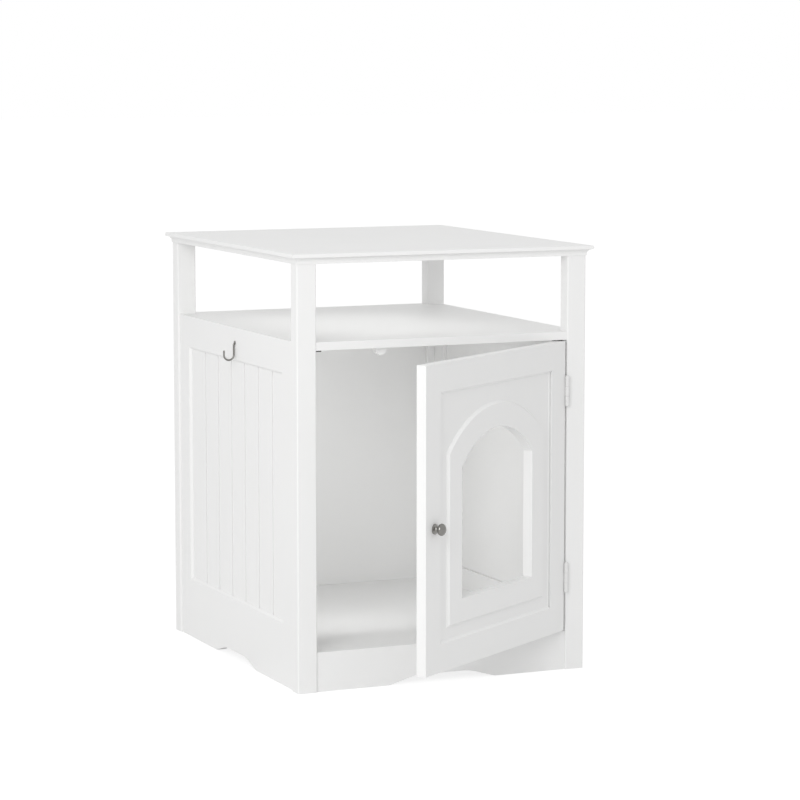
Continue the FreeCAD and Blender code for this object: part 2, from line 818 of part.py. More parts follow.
def door_knob(bolt):
    """A turned mushroom knob on a round base."""
    body = body_named("knob")
    turned = sketch_on(body, "XY_Plane", "knob_profile", "knob_height")
    profile = [
        (0, "knob_reach"),
        ("knob_tip_flat", "knob_reach"),
        ("knob_head_radius", "knob_dome_start"),
        ("knob_head_radius", "knob_head_start"),
        ("knob_neck_radius", "knob_neck_end"),
        ("knob_neck_radius", "knob_base_thickness * 2"),
        ("knob_base_radius", "knob_base_thickness"),
        ("knob_base_radius", 0),
        (0, 0),
    ]
    corners = [(f"knob_x + {out}", f"knuckle_proud - ({reach})") for out, reach in profile]
    outline(turned, corners, {1: "knob_dome_radius"})
    axis = turned.addGeometry(Part.LineSegment(V(number("knob_x"), 0, 0), V(number("knob_x"), -1, 0)), True)
    turned.addConstraint(Sketcher.Constraint("Vertical", axis))
    turned.addConstraint(Sketcher.Constraint("PointOnObject", 0, 1, axis))
    revolution = body.newObject("PartDesign::Revolution", "knob_turning")
    revolution.Profile = turned
    revolution.ReferenceAxis = (turned, ["Axis0"])
    revolution.Angle = 360
    node(hang(cut("knob", body, bolt)), "door_knob")


def knuckle(name, hinge, low, high, radius):
    """A stretch of the hinge's barrel, between two heights from the hinge's middle."""
    return rod(name, (0, 0, f"{hinge} + {low}"), "+z", radius, f"({high}) - ({low})")


def hinge_leaf(hinge, piece, screws):
    """A leaf of a butt hinge: the post's has the barrel's two outer knuckles, the door's the middle one."""
    name = f"{hinge}_{piece}"
    far = "leaf_play + leaf_thickness"
    across = ("leaf_play", far) if piece == "post" else (f"-({far})", "-leaf_play")
    height = (f"{hinge} - hinge_length / 2", f"{hinge} + hinge_length / 2")
    plate = block(f"{name}_plate", across, (0, "knuckle_proud + leaf_reach"), height)
    outer = [
        ("-hinge_length / 2", "-knuckle_half - knuckle_gap"),
        ("knuckle_half + knuckle_gap", "hinge_length / 2"),
    ]
    middle = [("-knuckle_half", "knuckle_half")]
    own, other = (outer, middle) if piece == "post" else (middle, outer)
    reach = "knuckle_radius + knuckle_play"
    rooms = [
        knuckle(f"{name}_room_{i}", hinge, f"{low} - knuckle_play", f"{high} + knuckle_play", reach)
        for i, (low, high) in enumerate(other)
    ]
    barrels = [
        knuckle(f"{name}_knuckle_{i}", hinge, low, high, "knuckle_radius")
        for i, (low, high) in enumerate(own)
    ]
    solid = join(f"{name}_solid", [cut(f"{name}_flap", plate, rooms)] + barrels)
    bore_radius = "pin_radius" if piece == "post" else "pin_radius + pin_play"
    bore = knuckle(f"{name}_bore", hinge, "-hinge_length", "hinge_length", bore_radius)
    return cut(name, cut(f"{name}_bored", solid, bore), screws)


def hinge_pin(hinge):
    """The pin, held in the post's knuckles, with a low head on top."""
    low = (0, 0, f"{hinge} - hinge_length / 2")
    shaft = rod(f"{hinge}_shaft", low, "+z", "pin_radius", "hinge_length")
    top = (0, 0, f"{hinge} + hinge_length / 2")
    head = rod(f"{hinge}_cap", top, "+z", "pin_head_radius", "pin_head")
    return join(f"{hinge}_pin_whole", [shaft, head])


def hinges(post_screws, door_screws):
    for hinge in ("hinge_upper", "hinge_lower"):
        post_leaf = hinge_leaf(hinge, "post", post_screws)
        place(post_leaf, "pin_x", "pin_y", 0)
        node(post_leaf, f"{hinge}_post_leaf")
        node(hang(hinge_leaf(hinge, "door", door_screws)), f"{hinge}_door_leaf")
        pin = hinge_pin(hinge)
        place(pin, "pin_x", "pin_y", 0)
        node(pin, f"{hinge}_pin")


# ---- the catch and the hook --------------------------------------------------------------------
def catch(screws):
    """A half-round magnetic catch under the shelf's front edge, open above for its magnet and poles."""
    body = body_named("catch")
    shell = sketch_on(body, "XZ_Plane", "catch_shell", "-catch_front")
    left, right = "-catch_offset - catch_radius", "-catch_offset + catch_radius"
    bend = "shelf_under - catch_straight"
    lowest = ("-catch_offset", f"{bend} - catch_radius")
    corners = [(left, "shelf_under"), (left, bend), lowest, (right, bend), (right, "shelf_under")]
    outline(shell, corners, {1: "catch_radius", 2: "catch_radius"})
    pad(body, shell, "catch_depth", other_way=True)
    middle_y = "catch_front + catch_depth / 2"
    ear_height = ("shelf_under - catch_ear_thickness", "shelf_under")
    ears = [
        block(
            "catch_ear_side",
            (f"{right} - catch_ear_thickness", f"{right} + catch_ear"),
            (f"{middle_y} - catch_ear / 2", f"{middle_y} + catch_ear / 2"),
            ear_height,
        ),
        block(
            "catch_ear_rear",
            ("-catch_offset - catch_ear / 2", "-catch_offset + catch_ear / 2"),
            ("catch_back - catch_ear_thickness", "catch_back + catch_ear"),
            ear_height,
        ),
    ]
    across = ("-catch_offset - magnet_width / 2", "-catch_offset + magnet_width / 2")
    deep = ("catch_front + catch_front_wall", "catch_front + catch_front_wall + magnet_depth")
    outer = "magnet_half + pole_thickness"
    pocket_room = block("catch_room", across, deep, (f"magnet_middle - ({outer})", "shelf_under"))
    housing = cut("catch_hollow", join("catch_whole", [body] + ears), pocket_room)
    node(cut("catch", housing, screws), "catch_housing")
    magnet_height = ("magnet_middle - magnet_half", "magnet_middle + magnet_half")
    node(block("magnet", across, deep, magnet_height), "catch_magnet")
    plates = [
        block("pole_low", across, deep, (f"magnet_middle - ({outer})", "magnet_middle - magnet_half")),
        block("pole_high", across, deep, ("magnet_middle + magnet_half", f"magnet_middle + {outer}")),
    ]
    node(group("poles", plates), "catch_pole_plates")


def strike(door_screw):
    """The steel plate on the door's back that the magnet holds, and its screw."""
    across = ("strike_middle - strike_width / 2", "strike_middle + strike_width / 2")
    height = ("strike_z - strike_height / 2", "strike_z + strike_height / 2")
    plate = block("strike_board", across, ("door_back", "door_back + strike_thickness"), height)
    node(hang(cut("strike", plate, door_screw)), "strike_plate")


def strike_screw():
    start = ("strike_middle", "door_back + strike_thickness", "strike_z")
    head = "hinge_screw_head_radius"
    return screw("strike_screw_whole", start, "-y", head, "screw_radius", "strike_screw_length")


def scoop_hook():
    """A bent wire hook for the scoop, screwed into the left side's top rail."""
    body = body_named("hook")
    path = sketch_on(body, "XZ_Plane", "hook_path", "-hook_along")
    bend_start = V(number("hook_shank_x + hook_bend"), number("hook_height"), 0)
    bend_end = V(number("hook_shank_x"), number("hook_height - hook_bend"), 0)
    bend_middle = V(number("hook_shank_x + hook_bend"), number("hook_height - hook_bend"), 0)
    bend_middle += V(-1, 1, 0).normalize() * number("hook_bend")
    root = V(number("hook_bite - side_out"), bend_start.y, 0)
    curl_start = V(bend_end.x, number("hook_curl_z"), 0)
    curl_end = curl_start - V(number("2 * hook_curl"), 0, 0)
    curl_low = curl_start - V(number("hook_curl"), number("hook_curl"), 0)
    tip = curl_end + V(0, number("hook_tip"), 0)
    path.addGeometry(
        [
            Part.LineSegment(root, bend_start),
            Part.Arc(bend_start, bend_middle, bend_end),
            Part.LineSegment(bend_end, curl_start),
            Part.Arc(curl_start, curl_low, curl_end),
            Part.LineSegment(curl_end, tip),
        ],
        False,
    )
    fix_path(path)
    section = sketch_on(body, "YZ_Plane", "hook_section", "hook_bite - side_out")
    circle(section, "hook_along", "hook_height", "hook_wire_radius")
    pipe = body.newObject("PartDesign::AdditivePipe", "hook_wire")
    pipe.Profile = section
    pipe.Spine = (path, [f"Edge{i}" for i in range(1, 6)])
    flange = sketch_on(body, "YZ_Plane", "hook_flange_ring", "-(side_out + hook_flange)")
    circle(flange, "hook_along", "hook_height", "hook_flange_radius")
    pad(body, flange, "hook_flange")
    return body


def circle(sketch, x, y, radius):
    ring = sketch.addGeometry(Part.Circle(V(number(x), number(y), 0), V(0, 0, 1), number(radius)), False)
    for kind, text in (("DistanceX", x), ("DistanceY", y)):
        index = sketch.addConstraint(Sketcher.Constraint(kind, -1, 1, ring, 3, number(text)))
        bind(sketch, f"Constraints[{index}]", text)
    index = sketch.addConstraint(Sketcher.Constraint("Radius", ring, number(radius)))
    bind(sketch, f"Constraints[{index}]", radius)


def fix_path(path):
    """Ties the hook's wire: tangent bends, upright shank and tip, and the sheet's lengths."""

    def end_at(side, point):
        return 1 if (path.getPoint(side, 1) - point).Length < CLOSE else 2

    level, bend, shank, curl, tip = range(5)
    ties = (
        (level, bend, path.getPoint(level, 2)),
        (bend, shank, path.getPoint(shank, 1)),
        (shank, curl, path.getPoint(shank, 2)),
        (curl, tip, path.getPoint(tip, 1)),
    )
    for before, after, point in ties:
        ends = (before, end_at(before, point), after, end_at(after, point))
        path.addConstraint(Sketcher.Constraint("Tangent", *ends))
    path.addConstraint(Sketcher.Constraint("Horizontal", level))
    path.addConstraint(Sketcher.Constraint("Vertical", shank))
    dimensions = [
        (("DistanceX", -1, 1, level, 1), "hook_bite - side_out"),
        (("DistanceY", -1, 1, level, 1), "hook_height"),
        (("DistanceX", -1, 1, shank, 2), "hook_shank_x"),
        (("DistanceY", -1, 1, shank, 2), "hook_curl_z"),
        (("Radius", bend), "hook_bend"),
        (("Radius", curl), "hook_curl"),
        (("DistanceY", -1, 1, tip, 1), "hook_curl_z"),
        (("DistanceY", tip, 1, tip, 2), "hook_tip"),
    ]
    for parts, text in dimensions:
        index = path.addConstraint(Sketcher.Constraint(*parts, number(text)))
        bind(path, f"Constraints[{index}]", text)


# ---- the whole cabinet -------------------------------------------------------------------------
def build():
    dowels = side_dowels()
    bolts, discs = cam_fittings()
    cleat_fixings = cleat_screws()
    bracket_fixings = bracket_screws()
    catch_fixings = catch_screws()
    post_screws_local = hinge_screws("leaf_play", "+x", "post_hinge_screws")
    door_screws_local = hinge_screws("-leaf_play", "-x", "door_hinge_screws")
    post_screws = group("hinge_screws_in_posts", [post_screws_local])
    place(post_screws, "pin_x", "pin_y", 0)
    knob_fixing = knob_screw()
    strike_fixing = strike_screw()
    hook = scoop_hook()

    top_board(bolts)
    posts(group("post_fittings", [dowels, bolts, discs, bracket_fixings, post_screws]))
    for side in ("left", "right"):
        side_frame(side, group(f"side_{side}_fittings", [dowels, cleat_fixings, hook]))
        bead_panel(side)
    shelf(group("shelf_fittings", [bracket_fixings, catch_fixings]))
    back_panel(group("back_fittings", [bolts, discs]))
    front_apron(group("apron_fittings", [bolts, discs]))
    floor_panel()
    floor_cleats(cleat_fixings)
    shelf_brackets(bracket_fixings)

    door_panel(group("door_fittings", [door_screws_local, knob_fixing, strike_fixing]))
    door_knob(knob_fixing)
    node(hang(group("knob_screw_hung", [knob_fixing])), "knob_screw")
    hinges(post_screws_local, door_screws_local)
    node(post_screws, "hinge_screws_post")
    node(hang(group("hinge_screws_in_door", [door_screws_local])), "hinge_screws_door")
    catch(catch_fixings)
    node(catch_fixings, "catch_screws")
    strike(strike_fixing)
    node(hang(group("strike_screw_hung", [strike_fixing])), "strike_screw")
    node(hook, "scoop_hook")
    node(bracket_fixings, "bracket_screws")
    node(cut("cams", discs, bolts), "cam_discs")
    node(bolts, "cam_bolts")
    node(dowels, "side_dowels")
    node(cleat_fixings, "cleat_screws")


def check():
    """Stops before anything is written if an object failed or a sub-part has no sound shape."""
    doc.recompute()
    for thing in doc.Objects:
        if {"Invalid", "Error"} & set(thing.State):
            raise RuntimeError(f"{thing.Name} failed: {thing.State}")
    for thing in nodes:
        if thing.Shape.isNull() or not thing.Shape.isValid():
            raise RuntimeError(f"{thing.Label} has no sound shape")


def write():
    os.makedirs("parts", exist_ok=True)
    for thing in nodes:
        thing.Shape.exportStep(f"parts/{thing.Label}.step")
        box = thing.Shape.BoundBox
        print(
            f"{thing.Label:24s} solids {len(thing.Shape.Solids):2d}"
            f"  volume {thing.Shape.Volume / 1000:9.2f} cm3"
            f"  x {box.XMin:8.2f} {box.XMax:8.2f}  y {box.YMin:8.2f} {box.YMax:8.2f}"
            f"  z {box.ZMin:7.2f} {box.ZMax:7.2f}"
        )


build()
check()
write()
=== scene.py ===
"""The looks of the cat litter box cabinet: white lacquer, nickel fittings and soft studio light."""
import json
import math

import bmesh
import bpy
from mathutils import Matrix, Vector

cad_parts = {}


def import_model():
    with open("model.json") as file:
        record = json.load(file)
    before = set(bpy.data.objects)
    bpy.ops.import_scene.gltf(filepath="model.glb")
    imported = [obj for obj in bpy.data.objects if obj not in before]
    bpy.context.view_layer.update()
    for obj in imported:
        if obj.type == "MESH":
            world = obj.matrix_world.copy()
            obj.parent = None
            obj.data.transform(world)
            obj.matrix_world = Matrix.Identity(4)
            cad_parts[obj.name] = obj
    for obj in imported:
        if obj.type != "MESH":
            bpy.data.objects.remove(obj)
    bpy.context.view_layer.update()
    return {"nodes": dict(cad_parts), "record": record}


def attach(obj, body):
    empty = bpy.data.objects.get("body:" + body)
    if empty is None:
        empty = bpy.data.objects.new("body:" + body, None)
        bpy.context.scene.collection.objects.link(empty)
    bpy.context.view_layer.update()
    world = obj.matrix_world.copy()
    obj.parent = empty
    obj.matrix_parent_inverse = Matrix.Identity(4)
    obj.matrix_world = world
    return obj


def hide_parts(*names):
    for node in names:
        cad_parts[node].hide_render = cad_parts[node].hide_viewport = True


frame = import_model()

MM = 0.001
nodes = frame["nodes"]
slot_of = {part["node"]: part["material_slot"] for part in frame["record"]["subparts"]}
door_nodes = set(frame["record"]["behaviour"]["bodies"]["door"])

# The lacquer's white, and how much of it is left in its darker patches.
LACQUER = (0.875, 0.875, 0.870)
LACQUER_DARKER = 0.978

# How far the door stands open, and the way that it faces.
DOOR_AJAR = math.radians(34.4)
DOOR_FACES = Vector((math.sin(DOOR_AJAR), -math.cos(DOOR_AJAR), 0))

# Corners this near each other are one. Faces that meet at less than a crease are one smooth surface,
# and those at less than the flat angle are one flat face.
WELD = 0.002 * MM
CREASE = math.radians(30)
TURNED_CREASE = math.radians(32)
FLAT = math.radians(0.5)

# How far each finish's edges are eased, where 0 leaves them crisp. The fine width is every other finish's.
EASED = {"white_paint": 0.5 * MM, "white_plastic": 0.5 * MM, "white_enamel": 0.0}
FINE_EASED = 0.12 * MM
EASE_SEGMENTS = 2

# How a long solid's ends are read: the depth of the ring at an end, and the share of its length that
# gives a first idea of the way it lies.
RING_DEPTH = 0.02 * MM
END_SHARE = 0.22
WAY_ROUNDS = 3

# Points round each kind of turned piece.
SCREW_POINTS = 16
BOLT_POINTS = 20
DISC_POINTS = 40
KNOB_POINTS = 64
FLUTE_POINTS = 6

# Threads: the steps in one turn, how wide a crest's flank is, and how thin the tip is and how fast it swells.
THREAD_STEPS = 6
THREAD_FLANK = 0.35
TIP_SHARE = 0.25
TIP_SWELL = 5.0
WOOD_PITCH = 1.1 * MM
MACHINE_PITCH = 0.8 * MM
BOLT_PITCH = 2.4 * MM

# Small fittings.
CROSS_SIDES = 4
CROSS_TAPER = 0.55
SCREW_LIP = 0.12 * MM
MACHINE_HEAD = 2 * MM
FLUTES = 12
FLUTE_DEPTH = 0.35 * MM
DOWEL_EASE = 1.0 * MM
BOLT_THREAD = 9 * MM
DISC_RADIUS = 7.5 * MM

# The knob: radii and heights from its foot, and shares of them for its neck.
KNOB_BASE = 7.5 * MM
KNOB_BASE_HEIGHT = 2.0 * MM
KNOB_NECK = 3.5 * MM
KNOB_HEAD = 8.7 * MM
KNOB_HEAD_START = 10.0 * MM
KNOB_DOME_START = 12.5 * MM
KNOB_RIM = 0.6 * MM
KNOB_FLARE = 0.80
KNOB_WAIST = 0.72
KNOB_SWELL = 0.30
KNOB_STEPS = 8

# The studio's light: the world, the large lamp, and the two weak lamps in the cabinet's rooms.
AMBIENT = 0.775
KEY_WATTS = 30.5
KEY_DISTANCE = 3.2
KEY_SIZE = 1.8
KEY_SIDE = Vector((-0.610, -0.710, 0.340))
KEY_TARGET = Vector((0, 0, 0.32))
ROOM_WATTS = 0.46
ROOM_SIZE = (0.18, 0.28)
ROOM_PLACE = Vector((-0.10, -0.16, 0.30))
BAY_WATTS = 0.15
BAY_SIZE = (0.30, 0.36)
BAY_PLACE = Vector((-0.02, -0.03, 0.612))
TO_THE_BACK = math.radians(90)
DOWNWARDS = 0

# The floor: from its middle to its edges, its own grey, and what the camera is shown of it, which is a
# glow and a share of the light that falls on it.
FLOOR_REACH = 30.0
FLOOR_GREY = 0.85
FLOOR_ROUGHNESS = 0.9
FLOOR_SPECULAR = 0.1
FLOOR_GLOW = 0.84
FLOOR_LIT = 0.25

# The photograph's camera.
CAMERA_PLACE = Vector((-1.8016, -4.2036, 0.9366))
CAMERA_TURN = -23.725
CAMERA_PITCH = -6.853
CAMERA_LENS = 135.02
CAMERA_SENSOR = 36.0
CAMERA_CLIP = (0.1, 100.0)


# ---- materials ---------------------------------------------------------------------------------
def add(tree, kind, inputs=None, **settings):
    """Adds a shader node, sets its properties, and fills sockets with numbers or links."""
    made = tree.nodes.new(kind)
    for name, value in settings.items():
        setattr(made, name, value)
    for name, value in (inputs or {}).items():
        socket = made.inputs[name]
        if isinstance(value, bpy.types.NodeSocket):
            tree.links.new(value, socket)
        else:
            socket.default_value = value
    return made


def new_material(name):
    """A material, its node tree and its shader."""
    material = bpy.data.materials.new(name)
    material.use_nodes = True
    return material, material.node_tree, material.node_tree.nodes["Principled BSDF"]


def own_place(tree):
    """The coordinates of a piece itself."""
    return add(tree, "ShaderNodeTexCoord").outputs["Object"]


def stretched(tree, place, scale):
    """Coordinates in which a pattern is drawn out along the axis with the smallest scale."""
    return add(tree, "ShaderNodeMapping", {"Vector": place, "Scale": scale}).outputs["Vector"]


def noise(tree, place, scale, detail=2.0, roughness=0.5):
    """A cloudy pattern from 0 to 1."""
    inputs = {"Vector": place, "Scale": scale, "Detail": detail, "Roughness": roughness}
    return add(tree, "ShaderNodeTexNoise", inputs).outputs["Fac"]


def spread(tree, factor, low, high):
    """A value that runs from low to high with a factor from 0 to 1."""
    scaled = add(tree, "ShaderNodeMapRange", {"Value": factor, "To Min": low, "To Max": high})
    return scaled.outputs["Result"]


def coloured(tree, shader, factor, light, dark):
    """Runs a shader's colour from light to dark with a pattern."""
    inputs = {"Factor": factor, "A": (*light, 1), "B": (*dark, 1)}
    mixed = add(tree, "ShaderNodeMix", inputs, data_type="RGBA")
    tree.links.new(mixed.outputs["Result"], shader.inputs["Base Color"])


def roughened(tree, shader, factor, smooth, rough):
    """Runs a shader's roughness from smooth to rough with a pattern."""
    tree.links.new(spread(tree, factor, smooth, rough), shader.inputs["Roughness"])


def bumped(tree, shader, height, strength, distance):
    """Raises a pattern on the surface."""
    inputs = {"Height": height, "Strength": strength, "Distance": distance}
    bump = add(tree, "ShaderNodeBump", inputs)
    tree.links.new(bump.outputs["Normal"], shader.inputs["Normal"])


def coated(shader, weight, roughness):
    """Puts a clear coat on a shader."""
    shader.inputs["Coat Weight"].default_value = weight
    shader.inputs["Coat Roughness"].default_value = roughness


def lacquer():
    """Sprayed white lacquer: a faint orange peel, a soft sheen and a barely uneven tone."""
    material, tree, shader = new_material("white_lacquer")
    place = own_place(tree)
    darker = tuple(channel * LACQUER_DARKER for channel in LACQUER)
    coloured(tree, shader, noise(tree, place, scale=9.0, detail=3.0), light=LACQUER, dark=darker)
    roughened(tree, shader, noise(tree, place, scale=55.0, detail=4.0), smooth=0.44, rough=0.56)
    shader.inputs["Specular IOR Level"].default_value = 0.3
    coated(shader, weight=0.05, roughness=0.3)
    peel = noise(tree, place, scale=620.0, detail=1.5, roughness=0.4)
    bumped(tree, shader, peel, strength=0.05, distance=0.15 * MM)
    return material


def metal(name, light, dark, smooth, rough, grain=1400.0):
    """Plated metal with fine polishing marks and slight changes of tone."""
    material, tree, shader = new_material(name)
    place = own_place(tree)
    marks = noise(tree, stretched(tree, place, (1.0, 1.0, 0.08)), scale=grain, detail=3.0)
    coloured(tree, shader, noise(tree, place, scale=160.0, detail=3.0), light, dark)
    roughened(tree, shader, marks, smooth, rough)
    shader.inputs["Metallic"].default_value = 1.0
    bumped(tree, shader, marks, strength=0.04, distance=0.05 * MM)
    return material


def enamel(name, light, dark):
    """Stoved enamel on small steel parts: glossier and harder than the lacquer."""
    material, tree, shader = new_material(name)
    place = own_place(tree)
    drift = noise(tree, place, scale=130.0, detail=3.0)
    coloured(tree, shader, drift, light, dark)
    roughened(tree, shader, drift, smooth=0.20, rough=0.30)
    coated(shader, weight=0.3, roughness=0.12)
    bumped(tree, shader, noise(tree, place, scale=900.0), strength=0.04, distance=0.05 * MM)
    return material


def patterned(name, light, dark, smooth, rough, strength, stretch=None, **pattern):
    """A material whose colour, roughness and bump all follow one pattern."""
    material, tree, shader = new_material(name)
    place = own_place(tree)
    if stretch:
        place = stretched(tree, place, stretch)
    factor = noise(tree, place, **pattern)
    coloured(tree, shader, factor, light, dark)
    roughened(tree, shader, factor, smooth, rough)
    bumped(tree, shader, factor, strength, distance=0.1 * MM)
    return material


def white_plastic():
    """Glossy moulded plastic with a hint of flow in its surface."""
    light, dark = (0.95, 0.95, 0.945), (0.92, 0.92, 0.915)
    return patterned("white_plastic", light, dark, smooth=0.14, rough=0.24, strength=0.06, scale=240.0)


def ferrite():
    """Dark sintered magnet with a fine gritty face."""
    light, dark = (0.035, 0.035, 0.04), (0.09, 0.09, 0.095)
    grit = {"scale": 2600.0, "detail": 4.0, "roughness": 0.7}
    return patterned("ferrite", light, dark, smooth=0.55, rough=0.8, strength=0.3, **grit)


def beech():
    """Plain beech with its grain along the dowels."""
    light, dark = (0.58, 0.38, 0.20), (0.42, 0.25, 0.12)
    grain = {"stretch": (1.0, 0.06, 1.0), "scale": 900.0, "detail": 5.0, "roughness": 0.6}
    return patterned("beech", light, dark, smooth=0.55, rough=0.75, strength=0.2, **grain)


finishes = {
    "white_paint": lacquer(),
    # Painted reflection: the nickel's colour is kept darker than nickel's own, standing in for the dark
    # surroundings that the metal mirrors.
    "nickel": metal("nickel_with_painted_dark_reflection", (0.27, 0.265, 0.25), (0.21, 0.205, 0.195), smooth=0.12, rough=0.22),
    "white_enamel": enamel("white_enamel", (0.78, 0.78, 0.775), (0.73, 0.73, 0.725)),
    # The shelf brackets' black is partly their finish and partly painted shade: it stands for the dark shadow
    # in the corner under the shelf.
    "black_enamel": enamel("black_enamel", (0.012, 0.012, 0.012), (0.022, 0.022, 0.022)),
    "zinc_steel": metal("zinc_steel", (0.60, 0.61, 0.62), (0.50, 0.51, 0.53), smooth=0.26, rough=0.42),
    "zinc_casting": metal(
        "zinc_casting", (0.50, 0.50, 0.51), (0.42, 0.42, 0.43), smooth=0.38, rough=0.55, grain=900.0
    ),
    "white_plastic": white_plastic(),
    "ferrite": ferrite(),
    "beech": beech(),
}


# ---- the CAD pieces' edges ---------------------------------------------------------------------
def soften(piece, width):
    """Shades a CAD piece's curves smooth and, given a width, rounds its sharp edges. Its mesh stays."""
    weld = piece.modifiers.new("weld", "WELD")
    weld.merge_threshold = WELD
    for polygon in piece.data.polygons:
        polygon.use_smooth = True
    if not width:
        split = piece.modifiers.new("crisp_edges", "EDGE_SPLIT")
        split.split_angle = CREASE
        return
    flat = piece.modifiers.new("whole_faces", "DECIMATE")
    flat.decimate_type = "DISSOLVE"
    flat.angle_limit = FLAT
    bevel = piece.modifiers.new("eased_edges", "BEVEL")
    bevel.width = width
    bevel.segments = EASE_SEGMENTS
    bevel.limit_method = "ANGLE"
    bevel.angle_limit = CREASE
    bevel.use_clamp_overlap = True
    shading = piece.modifiers.new("even_shading", "WEIGHTED_NORMAL")
    shading.mode = "FACE_AREA"
    shading.keep_sharp = True


# ---- reading the CAD solids --------------------------------------------------------------------
def solids_of(node):
    """The separate solids of a CAD node, each as a list of its points, in the mesh's own order."""
    shape = bmesh.new()
    shape.from_mesh(nodes[node].data)
    bmesh.ops.transform(shape, matrix=nodes[node].matrix_world, verts=shape.verts)
    bmesh.ops.remove_doubles(shape, verts=shape.verts, dist=WELD)
    reached = set()
    solids = []
    for first in shape.verts:
        if first in reached:
            continue
        reached.add(first)
        waiting, found = [first], []
        while waiting:
            vertex = waiting.pop()
            found.append(vertex.co.copy())
            for edge in vertex.link_edges:
                other = edge.other_vert(vertex)
                if other not in reached:
                    reached.add(other)
                    waiting.append(other)
        solids.append(found)
    shape.free()
    return solids


def span(points, way):
    """How far a solid's points go along a way: the least and the most."""
    reaches = [point.dot(way) for point in points]
    return min(reaches), max(reaches)


def middle_of(points):
    """The middle of the box round a solid's points."""
    low = Vector([min(point[axis] for point in points) for axis in range(3)])
    high = Vector([max(point[axis] for point in points) for axis in range(3)])
    return (low + high) / 2


def end_ring(points, way):
    """The points at a solid's far end along a way: their middle and their reach from it."""
    _least, furthest = span(points, way)
    at_end = [point for point in points if point.dot(way) > furthest - RING_DEPTH]
    middle = sum(at_end, Vector()) / len(at_end)
    return middle, max((point - middle).length for point in at_end)


def end_part(points, way):
    """The middle of a solid's far part, for a way that is only roughly right."""
    low, high = span(points, way)
    part = [point for point in points if point.dot(way) > high - END_SHARE * (high - low)]
    return sum(part, Vector()) / len(part)


def long_way(points):
    """The direction from the wide end of a long solid, such as a screw's head, to its other end."""
    middle = sum(points, Vector()) / len(points)
    way = max((point - middle for point in points), key=lambda arm: arm.length).normalized()
    for _ in range(WAY_ROUNDS):
        way = (end_part(points, way) - end_part(points, -way)).normalized()
    _middle, ahead_reach = end_ring(points, way)
    _middle, behind_reach = end_ring(points, -way)
    return way if behind_reach >= ahead_reach else -way


def end_sizes(points, way):
    """A long solid's start, its radius there, its radius at the other end, and its length."""
    start, start_radius = end_ring(points, -way)
    end, end_radius = end_ring(points, way)
    return start, start_radius, end_radius, (end - start).dot(way)


def frame_at(start, way):
    """A matrix that puts a piece turned about +Z at its start, along its way."""
    return Matrix.Translation(start) @ way.to_track_quat("Z", "Y").to_matrix().to_4x4()


# ---- turned shapes -----------------------------------------------------------------------------
def ring(shape, radius, height, points):
    """A ring of vertices. radius is one number, or a function of the angle."""
    vertices = []
    for count in range(points):
        angle = math.tau * count / points
        reach = radius(angle) if callable(radius) else radius
        vertices.append(shape.verts.new((reach * math.cos(angle), reach * math.sin(angle), height)))
    return vertices


def skin(shape, low, high):
    """Faces between two rings of the same number of vertices."""
    for count in range(len(low)):
        after = (count + 1) % len(low)
        shape.faces.new((low[count], low[after], high[after], high[count]))


def stack(shape, rings):
    """Faces from each ring to the next."""
    for low, high in zip(rings, rings[1:]):
        skin(shape, low, high)
    return rings


def lathe(shape, profile, points):
    """Rings of (radius, height) skinned one to the next. Both ends stay open."""
    return stack(shape, [ring(shape, radius, height, points) for radius, height in profile])


def close(shape, rim):
    """One face over a ring."""
    shape.faces.new(rim)


def cross_recess(shape, rim, reach, arm, depth):
    """Closes a screw's face at height 0 with a cross-shaped recess. rim is the face's outer ring."""
    corners = [(reach, -arm), (reach, arm), (arm, arm)]
    top, bottom = [], []
    for side in range(CROSS_SIDES):
        turn = Matrix.Rotation(math.tau * side / CROSS_SIDES, 2)
        for corner in corners:
            x, y = turn @ Vector(corner)
            top.append(shape.verts.new((x, y, 0)))
            bottom.append(shape.verts.new((CROSS_TAPER * x, CROSS_TAPER * y, depth)))
    skin(shape, bottom, top)
    close(shape, bottom)
    edges = []
    for loop in (rim, top):
        for count, vertex in enumerate(loop):
            pair = (vertex, loop[(count + 1) % len(loop)])
            edges.append(shape.edges.get(pair) or shape.edges.new(pair))
    bmesh.ops.triangle_fill(shape, use_beauty=True, use_dissolve=False, edges=edges)


def thread(shape, radius, start, end, pitch, points=SCREW_POINTS, depth=0.22):
    """A thread between two heights, as rings whose reach climbs round the shank, and a point at its end."""
    rings = []
    count = max(int((end - start) / pitch * THREAD_STEPS), 2)
    for step in range(count + 1):
        height = start + (end - start) * step / count
        left = (end - height) / (end - start)
        thin = min(1.0, TIP_SHARE + left * TIP_SWELL)

        def reach(angle, height=height, thin=thin):
            phase = (height / pitch - angle / math.tau) % 1.0
            crest = max(0.0, 1.0 - abs(phase - 0.5) / THREAD_FLANK)
            return radius * thin * (1.0 - depth + depth * crest)

        rings.append(ring(shape, reach, height, points))
    stack(shape, rings)
    close(shape, rings[-1])
    return rings[0]


def wood_screw(head, radius, length):
    """A wood screw with a countersunk cross-slotted head at height 0."""
    shape = bmesh.new()
    seat = head - radius
    neck = radius * 0.8
    profile = [(head - SCREW_LIP, 0), (head, SCREW_LIP), (neck, seat), (neck, seat + SCREW_LIP)]
    rings = lathe(shape, profile, SCREW_POINTS)
    first = thread(shape, radius, seat + 2 * SCREW_LIP, length, WOOD_PITCH)
    skin(shape, rings[-1], first)
    cross_recess(shape, rings[0], reach=head * 0.58, arm=head * 0.12, depth=seat * 0.9)
    return shape


